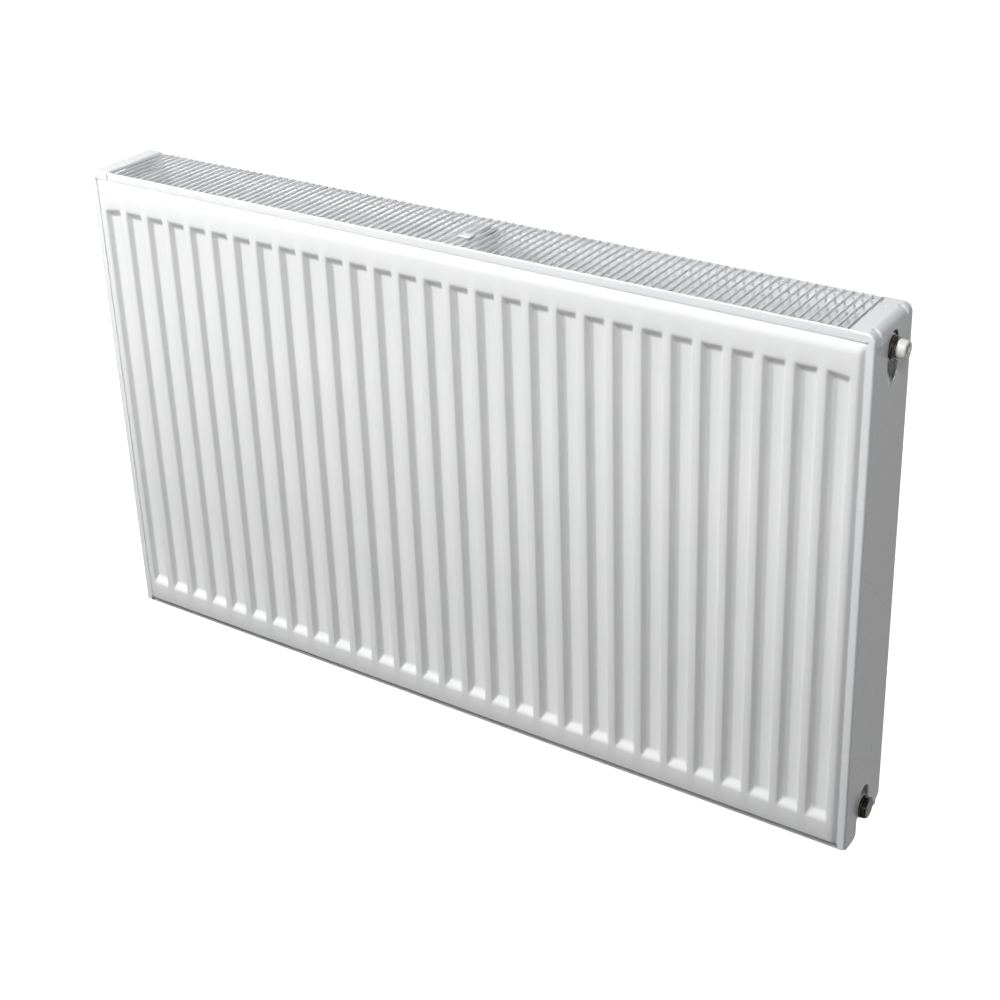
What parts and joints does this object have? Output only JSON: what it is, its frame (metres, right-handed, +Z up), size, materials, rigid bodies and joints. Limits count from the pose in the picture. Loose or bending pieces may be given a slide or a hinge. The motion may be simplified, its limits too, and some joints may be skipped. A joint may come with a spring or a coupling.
{
  "type": "panel radiator",
  "caption": "Double-panel, double-convector steel radiator, 600 mm high, 1000 mm long and 100 mm deep, with lift-off top grille and side panels, air vent and blanking plug",
  "frame": {"origin": "mid-length, level with the bottom edge of the water panels, in the plane of the hanging lugs' backs", "axes": "+X along the length, from the open connections to the plugged ones; +Y to the wall; +Z up"},
  "size_m": [1.015, 0.1083, 0.602],
  "materials": {
    "enamelled_steel": "white gloss stove enamel",
    "nickel_plated_brass": "nickel plated",
    "brass": "machined",
    "white_plastic": "moulded",
    "seal_rubber": "moulded"
  },
  "bodies": {
    "radiator": {"front_panel_front_sheet": "enamelled_steel", "front_panel_back_sheet": "enamelled_steel", "rear_panel_front_sheet": "enamelled_steel", "rear_panel_back_sheet": "enamelled_steel", "front_convector": "enamelled_steel", "rear_convector": "enamelled_steel", "top_left_tee": "enamelled_steel", "top_right_tee": "enamelled_steel", "bottom_left_tee": "enamelled_steel", "bottom_right_tee": "enamelled_steel", "upper_left_lug": "enamelled_steel", "upper_right_lug": "enamelled_steel", "lower_left_lug": "enamelled_steel", "lower_right_lug": "enamelled_steel", "grille_clip": "enamelled_steel", "vent_plug": "nickel_plated_brass", "blanking_plug": "nickel_plated_brass", "vent_plug_seal": "seal_rubber", "blanking_plug_seal": "seal_rubber"},
    "left_side_panel": {"left_side_panel": "enamelled_steel"},
    "right_side_panel": {"right_side_panel": "enamelled_steel"},
    "top_grille": {"top_grille": "enamelled_steel"},
    "vent_nozzle": {"vent_nozzle": "white_plastic"},
    "bleed_screw": {"bleed_screw": "brass"}
  },
  "joints": [
    {"name": "left_side_panel_lift", "type": "slide", "parent": "radiator", "child": "left_side_panel", "axis": [0, 0, 1], "range_m": [0, 0.025]},
    {"name": "right_side_panel_lift", "type": "slide", "parent": "radiator", "child": "right_side_panel", "axis": [0, 0, 1], "range_m": [0, 0.025]},
    {"name": "top_grille_lift", "type": "slide", "parent": "radiator", "child": "top_grille", "axis": [0, 0, 1], "range_m": [0, 0.05]},
    {"name": "vent_nozzle_turn", "type": "hinge", "parent": "radiator", "child": "vent_nozzle", "pos_m": [0.50885, -0.0583, 0.57], "axis": [1, 0, 0], "continuous": true},
    {"name": "bleed_screw_turn", "type": "hinge", "parent": "radiator", "child": "bleed_screw", "pos_m": [0.5085, -0.0583, 0.57], "axis": [1, 0, 0], "range_deg": [0, 360]}
  ]
}
